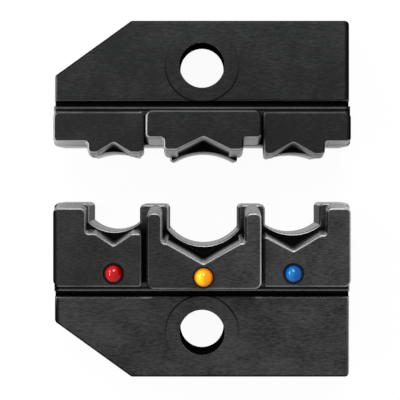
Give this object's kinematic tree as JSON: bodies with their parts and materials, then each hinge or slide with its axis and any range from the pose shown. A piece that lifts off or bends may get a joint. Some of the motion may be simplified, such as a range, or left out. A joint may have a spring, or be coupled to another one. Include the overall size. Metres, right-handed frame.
{
  "type": "crimp die",
  "caption": "Pair of dark steel crimp die halves with round and V-shaped nests and matching teeth, colour dot markers and a bolt hole in each half, closing toward each other.",
  "frame": {"origin": "bottom centre of the open pair lying on its back, midway between the two outer edges", "axes": "+Z out of the front faces, +Y from the lower half with the nests to the upper half with the teeth, +X to the right seen from the front"},
  "size_m": [0.04, 0.0484, 0.0148],
  "materials": {
    "die_steel": "dark burnished steel, front faces finely brushed across, soft bright edges",
    "red_enamel": "glossy domed",
    "yellow_enamel": "glossy domed",
    "blue_enamel": "glossy domed"
  },
  "bodies": {
    "lower_half": {"lower_die": "die_steel", "dot_red": "red_enamel", "dot_yellow": "yellow_enamel", "dot_blue": "blue_enamel"},
    "upper_half": {"upper_die": "die_steel"}
  },
  "joints": [
    {"name": "die_close", "type": "slide", "parent": "lower_half", "child": "upper_half", "axis": [0, -1, 0], "range_m": [0, 0.0075]}
  ]
}
